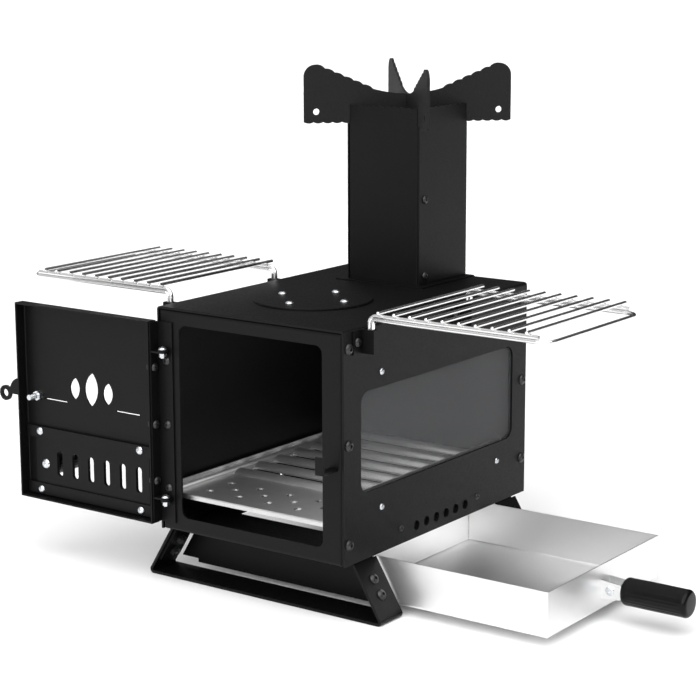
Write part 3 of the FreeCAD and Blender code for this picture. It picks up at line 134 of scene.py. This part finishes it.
def add_floor():
    """Wide matt white table that runs out of sight."""
    h = FLOOR_HALF
    z = -FLOOR_DROP
    mesh = bpy.data.meshes.new("floor")
    mesh.from_pydata([(-h, -h, z), (h, -h, z), (h, h, z), (-h, h, z)], [], [(0, 1, 2, 3)])
    floor = bpy.data.objects.new("floor", mesh)
    bpy.context.scene.collection.objects.link(floor)
    mesh.materials.append(matt_white_board())


# ---------------------------------------------------------------- node and colour helpers
def linear(code):
    """sRGB hex such as '#a0b0c0' to a linear RGBA colour."""
    parts = [int(code[i:i + 2], 16) / 255 for i in (1, 3, 5)]
    return tuple(c / 12.92 if c <= 0.04045 else ((c + 0.055) / 1.055) ** 2.4 for c in parts) + (1.0,)


def node(tree, kind, settings, inputs):
    """Adds a node, sets its properties, and gives each input, by name or number, a value or a link."""
    made = tree.nodes.new(kind)
    for name, value in settings.items():
        setattr(made, name, value)
    for key, value in inputs.items():
        if isinstance(value, bpy.types.NodeSocket):
            tree.links.new(value, made.inputs[key])
        else:
            made.inputs[key].default_value = value
    return made


def start_material(name):
    """Empty node material; gives its tree and the object coordinates, in metres."""
    material = bpy.data.materials.new(name)
    material.use_nodes = True
    tree = material.node_tree
    tree.nodes.clear()
    place = node(tree, "ShaderNodeTexCoord", {}, {}).outputs["Object"]
    return material, tree, place


def per_mm(size):
    """Noise scale whose lumps are about size millimetres across."""
    return 1.0 / (size * MM)


# Noise keeps near a half, so these two values stand for its low and high ends.
NOISE_LOW = 0.3
NOISE_HIGH = 0.7
RGBA = {"data_type": "RGBA"}     # a colour mix takes its two colours on inputs 6 and 7 and gives output 2


# ---------------------------------------------------------------- materials
def powder_coated_steel():
    """Mild steel sheet under a sprayed and baked heat-proof powder coat.
    It gives the eye a deep black with a soft satin sheen and a fine orange peel, 1.6 mm across."""
    material, tree, place = start_material("powder_coated_steel")
    peel = node(tree, "ShaderNodeTexNoise", {}, {"Vector": place, "Scale": per_mm(1.6)}).outputs["Fac"]
    cloud = node(tree, "ShaderNodeTexNoise", {}, {"Vector": place, "Scale": per_mm(60)}).outputs["Fac"]
    colour = node(tree, "ShaderNodeMix", RGBA, {0: cloud, 6: linear("#060607"), 7: linear("#0c0c0d")})
    sheen = node(tree, "ShaderNodeMapRange", {}, {
        "Value": peel, "From Min": NOISE_LOW, "From Max": NOISE_HIGH, "To Min": 0.40, "To Max": 0.52})
    relief = node(tree, "ShaderNodeBump", {}, {"Height": peel, "Distance": 0.02 * MM})
    shader = node(tree, "ShaderNodeBsdfPrincipled", {}, {
        "Base Color": colour.outputs[2], "Roughness": sheen.outputs[0], "Normal": relief.outputs[0],
        "IOR": 1.5, "Specular IOR Level": 0.16})
    node(tree, "ShaderNodeOutputMaterial", {}, {"Surface": shader.outputs[0]})
    return material


def textured_coated_steel():
    """Steel plate under a coarse textured heat-proof coat.
    It gives the eye a dry charcoal with a sandy tooth, grit about 1.1 mm across."""
    material, tree, place = start_material("textured_coated_steel")
    grit = node(tree, "ShaderNodeTexNoise", {}, {
        "Vector": place, "Scale": per_mm(1.1), "Detail": 4.0}).outputs["Fac"]
    share = node(tree, "ShaderNodeMapRange", {}, {
        "Value": grit, "From Min": NOISE_LOW, "From Max": NOISE_HIGH})
    colour = node(tree, "ShaderNodeMix", RGBA, {
        0: share.outputs[0], 6: linear("#040404"), 7: linear("#1d1d1d")})
    sheen = node(tree, "ShaderNodeMapRange", {}, {
        "Value": grit, "From Min": NOISE_LOW, "From Max": NOISE_HIGH, "To Min": 0.55, "To Max": 0.8})
    relief = node(tree, "ShaderNodeBump", {}, {"Height": grit, "Distance": 0.35 * MM})
    shader = node(tree, "ShaderNodeBsdfPrincipled", {}, {
        "Base Color": colour.outputs[2], "Roughness": sheen.outputs[0], "Normal": relief.outputs[0],
        "Specular IOR Level": 0.25})
    node(tree, "ShaderNodeOutputMaterial", {}, {"Surface": shader.outputs[0]})
    return material


def brushed_stainless_sheet():
    """Cold rolled stainless sheet with a fine brushed finish along its length.
    It gives the eye an even bright silver, with faint straight scratches 0.9 mm apart."""
    material, tree, place = start_material("brushed_stainless_sheet")
    along = node(tree, "ShaderNodeMapping", {}, {"Vector": place, "Scale": (0.02, 1.0, 1.0)})
    lines = node(tree, "ShaderNodeTexNoise", {}, {
        "Vector": along.outputs[0], "Scale": per_mm(0.9), "Detail": 3.0}).outputs["Fac"]
    haze = node(tree, "ShaderNodeTexNoise", {}, {"Vector": place, "Scale": per_mm(45)}).outputs["Fac"]
    colour = node(tree, "ShaderNodeMix", RGBA, {0: haze, 6: linear("#eaeaea"), 7: linear("#f4f4f4")})
    sheen = node(tree, "ShaderNodeMapRange", {}, {
        "Value": lines, "From Min": NOISE_LOW, "From Max": NOISE_HIGH, "To Min": 0.36, "To Max": 0.42})
    shader = node(tree, "ShaderNodeBsdfPrincipled", {}, {
        "Base Color": colour.outputs[2], "Roughness": sheen.outputs[0], "Metallic": 1.0})
    node(tree, "ShaderNodeOutputMaterial", {}, {"Surface": shader.outputs[0]})
    return material


def pickled_stainless_grate():
    """Pressed stainless tray, pickled after forming.
    It gives the eye a grey metal with soft reflections, cloudy over 12 mm and frosted over 1 mm."""
    material, tree, place = start_material("pickled_stainless_grate")
    cloud = node(tree, "ShaderNodeTexNoise", {}, {"Vector": place, "Scale": per_mm(12)}).outputs["Fac"]
    frost = node(tree, "ShaderNodeTexNoise", {}, {"Vector": place, "Scale": per_mm(1.0)}).outputs["Fac"]
    colour = node(tree, "ShaderNodeMix", RGBA, {0: cloud, 6: linear("#cacaca"), 7: linear("#e0e0df")})
    sheen = node(tree, "ShaderNodeMapRange", {}, {
        "Value": frost, "From Min": NOISE_LOW, "From Max": NOISE_HIGH, "To Min": 0.34, "To Max": 0.44})
    shader = node(tree, "ShaderNodeBsdfPrincipled", {}, {
        "Base Color": colour.outputs[2], "Roughness": sheen.outputs[0], "Metallic": 1.0})
    node(tree, "ShaderNodeOutputMaterial", {}, {"Surface": shader.outputs[0]})
    return material


def polished_stainless_wire():
    """Drawn stainless wire, electropolished after welding.
    It gives the eye a mirror silver, with faint draw marks about 0.8 mm apart."""
    material, tree, place = start_material("polished_stainless_wire")
    marks = node(tree, "ShaderNodeTexNoise", {}, {"Vector": place, "Scale": per_mm(0.8)}).outputs["Fac"]
    colour = node(tree, "ShaderNodeMix", RGBA, {0: marks, 6: linear("#e2e2e2"), 7: linear("#f6f6f6")})
    sheen = node(tree, "ShaderNodeMapRange", {}, {
        "Value": marks, "From Min": NOISE_LOW, "From Max": NOISE_HIGH, "To Min": 0.14, "To Max": 0.24})
    shader = node(tree, "ShaderNodeBsdfPrincipled", {}, {
        "Base Color": colour.outputs[2], "Roughness": sheen.outputs[0], "Metallic": 1.0})
    node(tree, "ShaderNodeOutputMaterial", {}, {"Surface": shader.outputs[0]})
    return material


def black_oxide_steel():
    """Hardened steel screw blackened in a hot salt bath.
    It gives the eye an oily black, a little shinier than the coated sheet, mottled over 1.5 mm."""
    material, tree, place = start_material("black_oxide_steel")
    mottle = node(tree, "ShaderNodeTexNoise", {}, {"Vector": place, "Scale": per_mm(1.5)}).outputs["Fac"]
    colour = node(tree, "ShaderNodeMix", RGBA, {0: mottle, 6: linear("#0e0e0f"), 7: linear("#1b1b1d")})
    sheen = node(tree, "ShaderNodeMapRange", {}, {
        "Value": mottle, "From Min": NOISE_LOW, "From Max": NOISE_HIGH, "To Min": 0.28, "To Max": 0.42})
    shader = node(tree, "ShaderNodeBsdfPrincipled", {}, {
        "Base Color": colour.outputs[2], "Roughness": sheen.outputs[0], "IOR": 1.6})
    node(tree, "ShaderNodeOutputMaterial", {}, {"Surface": shader.outputs[0]})
    return material


def zinc_plated_steel():
    """Steel screw with bright zinc plating.
    It gives the eye a pale bluish silver with a slightly frosted edge, frosted over 1.2 mm."""
    material, tree, place = start_material("zinc_plated_steel")
    frost = node(tree, "ShaderNodeTexNoise", {}, {"Vector": place, "Scale": per_mm(1.2)}).outputs["Fac"]
    colour = node(tree, "ShaderNodeMix", RGBA, {0: frost, 6: linear("#c9cdd2"), 7: linear("#e6e8ea")})
    sheen = node(tree, "ShaderNodeMapRange", {}, {
        "Value": frost, "From Min": NOISE_LOW, "From Max": NOISE_HIGH, "To Min": 0.18, "To Max": 0.34})
    shader = node(tree, "ShaderNodeBsdfPrincipled", {}, {
        "Base Color": colour.outputs[2], "Roughness": sheen.outputs[0], "Metallic": 1.0})
    node(tree, "ShaderNodeOutputMaterial", {}, {"Surface": shader.outputs[0]})
    return material


def smoked_ceramic_glass():
    """Rolled glass ceramic, tinted grey in the melt and a little milky.
    It gives the eye an even mid grey over the dark firebox, clouded slightly over 90 mm."""
    material, tree, place = start_material("smoked_ceramic_glass")
    cloud = node(tree, "ShaderNodeTexNoise", {}, {"Vector": place, "Scale": per_mm(90)}).outputs["Fac"]
    colour = node(tree, "ShaderNodeMix", RGBA, {0: cloud, 6: linear("#626365"), 7: linear("#6c6d6f")})
    shader = node(tree, "ShaderNodeBsdfPrincipled", {}, {
        "Base Color": colour.outputs[2], "Roughness": 0.04, "IOR": 1.53,
        "Specular IOR Level": 0.3, "Alpha": 0.26})
    node(tree, "ShaderNodeOutputMaterial", {}, {"Surface": shader.outputs[0]})
    return material


def moulded_phenolic():
    """Heat-proof phenolic resin, hot pressed in a steel mould.
    It gives the eye a dense black with a soft polish and a very fine pebble, 0.8 mm across."""
    material, tree, place = start_material("moulded_phenolic")
    pebble = node(tree, "ShaderNodeTexNoise", {}, {"Vector": place, "Scale": per_mm(0.8)}).outputs["Fac"]
    colour = node(tree, "ShaderNodeMix", RGBA, {0: pebble, 6: linear("#060606"), 7: linear("#0c0c0c")})
    relief = node(tree, "ShaderNodeBump", {}, {"Height": pebble, "Distance": 0.02 * MM})
    shader = node(tree, "ShaderNodeBsdfPrincipled", {}, {
        "Base Color": colour.outputs[2], "Roughness": 0.27, "Normal": relief.outputs[0],
        "Specular IOR Level": 0.16})
    node(tree, "ShaderNodeOutputMaterial", {}, {"Surface": shader.outputs[0]})
    return material


def heat_tinted_weld():
    """Stainless weld metal, cleaned but left as it froze.
    It gives the eye a straw and grey bead with ripples about 1 mm apart."""
    material, tree, place = start_material("heat_tinted_weld")
    ripple = node(tree, "ShaderNodeTexNoise", {}, {"Vector": place, "Scale": per_mm(1.0)}).outputs["Fac"]
    colour = node(tree, "ShaderNodeMix", RGBA, {0: ripple, 6: linear("#cdcac6"), 7: linear("#ecebe9")})
    sheen = node(tree, "ShaderNodeMapRange", {}, {
        "Value": ripple, "From Min": NOISE_LOW, "From Max": NOISE_HIGH, "To Min": 0.22, "To Max": 0.40})
    relief = node(tree, "ShaderNodeBump", {}, {"Height": ripple, "Distance": 0.1 * MM})
    shader = node(tree, "ShaderNodeBsdfPrincipled", {}, {
        "Base Color": colour.outputs[2], "Roughness": sheen.outputs[0], "Normal": relief.outputs[0],
        "Metallic": 1.0})
    node(tree, "ShaderNodeOutputMaterial", {}, {"Surface": shader.outputs[0]})
    return material


def matt_white_board():
    """Painted studio table. It gives the eye a plain white ground."""
    material, tree, place = start_material("matt_white_board")
    shader = node(tree, "ShaderNodeBsdfDiffuse", {}, {"Color": linear("#fafafa")})
    node(tree, "ShaderNodeOutputMaterial", {}, {"Surface": shader.outputs[0]})
    return material


# ---------------------------------------------------------------- surface helpers
def grid_faces(rows, cols, wrap):
    """Quads between neighbouring rows and columns; wrap joins the last column to the first."""
    r = np.arange(rows - 1)[:, None]
    c = np.arange(cols if wrap else cols - 1)[None, :]
    n = (c + 1) % cols
    return np.stack([r * cols + c, r * cols + n, (r + 1) * cols + n, (r + 1) * cols + c], -1).reshape(-1, 4)


def make_piece(name, points, faces, material, body, smooth=True):
    """Mesh object at the origin from arrays of points and faces, riding on a body."""
    mesh = bpy.data.meshes.new(name)
    mesh.from_pydata(points.reshape(-1, 3).tolist(), [], [list(f) for f in faces])
    mesh.polygons.foreach_set("use_smooth", np.full(len(mesh.polygons), smooth))
    mesh.materials.append(material)
    mesh.update()
    piece = bpy.data.objects.new(name, mesh)
    bpy.context.scene.collection.objects.link(piece)
    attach(piece, body)
    return piece


def lathe(axis_from, axis_to, profile, steps=64, flutes=0, flute_depth=0.0):
    """Profile (place along the axis, radius) turned about a line; each radius is lowered by
    flute_depth times the square of the sine of half the flute count times the angle.
    Both ends close on the axis."""
    a = np.array(axis_from, float)
    b = np.array(axis_to, float)
    w = (b - a) / np.linalg.norm(b - a)
    side = np.array([0.0, 0.0, 1.0]) if abs(w[2]) < 0.9 else np.array([1.0, 0.0, 0.0])
    u = np.cross(side, w)
    u /= np.linalg.norm(u)
    v = np.cross(w, u)
    along, radius, fluted = (np.array(x)[:, None] for x in zip(*profile))
    angle = np.linspace(0, 2 * math.pi, steps, endpoint=False)[None, :]
    r = radius - fluted * flute_depth * np.sin(angle * flutes / 2) ** 2
    spoke = np.cos(angle)[..., None] * u + np.sin(angle)[..., None] * v
    ring = a + along[..., None] * w + r[..., None] * spoke
    rows = len(profile)
    points = np.concatenate([ring.reshape(-1, 3), [a + along[0] * w], [a + along[-1] * w]])
    quads = grid_faces(rows, steps, True).tolist()
    c = np.arange(steps)
    n = (c + 1) % steps
    first = np.stack([np.full(steps, rows * steps), n, c], -1)
    last = np.stack([np.full(steps, rows * steps + 1), (rows - 1) * steps + c, (rows - 1) * steps + n], -1)
    return points, quads + first.tolist() + last.tolist()


def beads(centres, radii, rows=9, cols=16):
    """Closed rounded lumps: each point is the centre plus the radii times the point of the unit sphere
    at a latitude and a longitude."""
    lat = np.linspace(-math.pi / 2, math.pi / 2, rows + 2)[1:-1]
    lon = np.linspace(0, 2 * math.pi, cols, endpoint=False)
    la, lo = np.meshgrid(lat, lon, indexing="ij")
    shell = np.stack([np.cos(la) * np.cos(lo), np.cos(la) * np.sin(lo), np.sin(la)], -1).reshape(-1, 3)
    shell = np.concatenate([shell, [[0, 0, -1.0]], [[0, 0, 1.0]]])
    c = np.arange(cols)
    n = (c + 1) % cols
    quads = grid_faces(rows, cols, True)
    low = np.stack([np.full(cols, rows * cols), n, c], -1)
    top = np.stack([np.full(cols, rows * cols + 1), (rows - 1) * cols + c, (rows - 1) * cols + n], -1)
    centres = np.array(centres, float).reshape(-1, 1, 3)
    points = centres + shell[None] * np.array(radii, float)
    faces = []
    for k in range(len(centres)):
        shift = k * len(shell)
        faces += (quads + shift).tolist() + (low + shift).tolist() + (top + shift).tolist()
    return points, faces


def rippled_seams(lines, radius, ripple, pitch, cols=12):
    """Weld seams along straight lines: a round section whose radius is radius plus ripple times the cosine
    of a full turn for each pitch, tapered to a point at both ends by the square root of a sine."""
    points, faces, shift = [], [], 0
    for a, b in lines:
        a, b = np.array(a, float), np.array(b, float)
        length = np.linalg.norm(b - a)
        rows = max(12, int(length / pitch * 6))
        t = np.linspace(0.002, 0.998, rows)
        w = (b - a) / length
        side = np.array([1.0, 0.0, 0.0]) if abs(w[2]) > 0.9 else np.array([0.0, 0.0, 1.0])
        u = np.cross(side, w)
        u /= np.linalg.norm(u)
        v = np.cross(w, u)
        taper = np.clip(np.sin(math.pi * t) * 8, 0, 1) ** 0.5
        r = (radius + ripple * np.cos(2 * math.pi * t * length / pitch)) * taper
        angle = np.linspace(0, 2 * math.pi, cols, endpoint=False)
        ring = np.cos(angle)[:, None] * u + np.sin(angle)[:, None] * v
        pts = (a + t[:, None] * (b - a))[:, None] + r[:, None, None] * ring[None]
        ends = np.stack([a, b])
        points.append(np.concatenate([pts.reshape(-1, 3), ends]))
        c = np.arange(cols)
        n = (c + 1) % cols
        quads = grid_faces(rows, cols, True)
        low = np.stack([np.full(cols, rows * cols), n, c], -1)
        top = np.stack([np.full(cols, rows * cols + 1), (rows - 1) * cols + c, (rows - 1) * cols + n], -1)
        faces += (quads + shift).tolist() + (low + shift).tolist() + (top + shift).tolist()
        shift += rows * cols + 2
    return np.concatenate(points), faces


# ---------------------------------------------------------------- pieces added to the frame
SHELF_WIRE_R = 1.75 * MM
SHELF_ROD_R = 1.5 * MM
SHELF_RODS = 10
WELD_LUMP = (1.9 * MM, 1.9 * MM, 0.9 * MM)
GRIP_EDGE = 0.32         # rounded end of a grip, as a share of its radius
GRIP_SWELL = 0.015       # how much wider a grip is in the middle, as a share of its radius
GRIP_STEPS = 96
GRIP_FLUTES = 24
GRIP_FLUTE_DEPTH = 0.35 * MM
SEAM_LOW = 2.5 * MM      # drawer seams from the drawer's bottom, rim and outside
SEAM_HIGH = 1.0 * MM
SEAM_INSET = 1.5 * MM
SEAM_R = 0.45 * MM
SEAM_RIPPLE = 0.08 * MM
SEAM_PITCH = 1.6 * MM
THREAD_PITCH = 0.8 * MM
THREAD_DEPTH = 0.2 * MM
THREAD_SKIN = 0.02 * MM
LATCH_BOLT_R = 2.5 * MM
LATCH_THREAD_L = 7.0 * MM


def shelf_welds(side, weld):
    """Small weld lumps where each rod of a wire shelf crosses its two arms."""
    rods_lo, rods_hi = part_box(side + "_shelf_rods")
    arms_lo, arms_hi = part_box(side + "_shelf_frame")
    xs = np.linspace(rods_lo.x + SHELF_ROD_R, rods_hi.x - SHELF_ROD_R, SHELF_RODS)
    ys = (arms_lo.y + SHELF_WIRE_R, arms_hi.y - SHELF_WIRE_R)
    z = (rods_lo.z + rods_hi.z) / 2 - SHELF_ROD_R
    centres = [(x, y, z) for y in ys for x in xs]
    points, faces = beads(centres, WELD_LUMP)
    return make_piece(side + "_shelf_welds", points, faces, weld, side + "_shelf")


def round_grip(name, cad_node, axis, body, material):
    """Moulded grip: a round bar that swells a little in the middle, with rounded ends and shallow flutes."""
    lo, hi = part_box(cad_node)
    centre = (lo + hi) / 2
    step = Vector(axis)
    half = abs(step.dot(hi - lo)) / 2
    radius = (hi.z - lo.z) / 2
    a = centre - step * half
    b = centre + step * half
    length = 2 * half
    edge = GRIP_EDGE * radius
    corner = [(edge * (1 - math.cos(t)), radius - edge * (1 - math.sin(t)), 0.0)
              for t in np.linspace(0, math.pi / 2, 9)]
    middle = [(length * t, radius * (1.0 - GRIP_SWELL + GRIP_SWELL * math.sin(math.pi * t)), 1.0)
              for t in np.linspace(0.12, 0.88, 25)]
    far = [(length - s, r, f) for s, r, f in reversed(corner)]
    points, faces = lathe(a, b, corner + middle + far, GRIP_STEPS, GRIP_FLUTES,
                          GRIP_FLUTE_DEPTH)
    piece = make_piece(name, points, faces, material, body)
    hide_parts(cad_node)
    return piece


def drawer_corner_welds(weld):
    """Seams run up the four inside corners of the drawer."""
    lo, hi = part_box("drawer_tray")
    low = lo.z + SEAM_LOW
    high = hi.z - SEAM_HIGH
    xs = (lo.x + SEAM_INSET, hi.x - SEAM_INSET)
    ys = (lo.y + SEAM_INSET, hi.y - SEAM_INSET)
    lines = [((x, y, low), (x, y, high)) for x in xs for y in ys]
    points, faces = rippled_seams(lines, SEAM_R, SEAM_RIPPLE, SEAM_PITCH)
    return make_piece("drawer_corner_welds", points, faces, weld, "drawer")


def screw_thread(name, cad_node, body, radius, length, material):
    """Thread on the end of a screw that points towards the front: a round section whose radius rises
    by the thread depth on every other row, two rows to a pitch."""
    lo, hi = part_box(cad_node)
    middle = (lo + hi) / 2
    tip = lo.y - THREAD_SKIN
    rows = int(length / THREAD_PITCH) * 2
    ridges = [(THREAD_PITCH * (0.5 + k / 2), radius + (THREAD_DEPTH if k % 2 else THREAD_SKIN), 0.0)
              for k in range(rows)]
    profile = [(0.0, radius - THREAD_DEPTH, 0.0)] + ridges
    points, faces = lathe((middle.x, tip, middle.z), (middle.x, tip + length, middle.z), profile, 24)
    return make_piece(name, points, faces, material, body, smooth=False)


# ---------------------------------------------------------------- put together
def finish_cad_nodes(finishes):
    """Gives every CAD node the finish of its material slot."""
    slots = {s["node"]: s["material_slot"] for s in frame["record"]["subparts"]}
    for name, thing in frame["nodes"].items():
        thing.data.materials.clear()
        thing.data.materials.append(finishes[slots[name]])


def main():
    bpy.context.scene.view_settings.view_transform = "Standard"
    finishes = {
        "firebox_black": powder_coated_steel(),
        "plate_black": textured_coated_steel(),
        "hardware_black": black_oxide_steel(),
        "hardware_silver": zinc_plated_steel(),
        "stainless_sheet": brushed_stainless_sheet(),
        "stainless_wire": polished_stainless_wire(),
        "ceramic_glass": smoked_ceramic_glass(),
        "grip_black": moulded_phenolic(),
    }
    finish_cad_nodes(finishes)
    frame["nodes"]["grate"].data.materials[0] = pickled_stainless_grate()
    weld = heat_tinted_weld()
    for side in ("left", "right"):
        shelf_welds(side, weld)
    round_grip("drawer_grip_moulding", "drawer_grip", (1, 0, 0), "drawer", finishes["grip_black"])
    round_grip("damper_pull_moulding", "damper_pull", (0, 1, 0), "damper", finishes["grip_black"])
    drawer_corner_welds(weld)
    screw_thread("latch_bolt_thread", "latch_bolt", "door", LATCH_BOLT_R, LATCH_THREAD_L,
                 finishes["hardware_silver"])
    add_camera()
    add_world()
    for name, (strength, width, towards) in SUNS.items():
        add_sun(name, strength, width, towards)
    add_firebox_lamp()
    add_floor()


main()
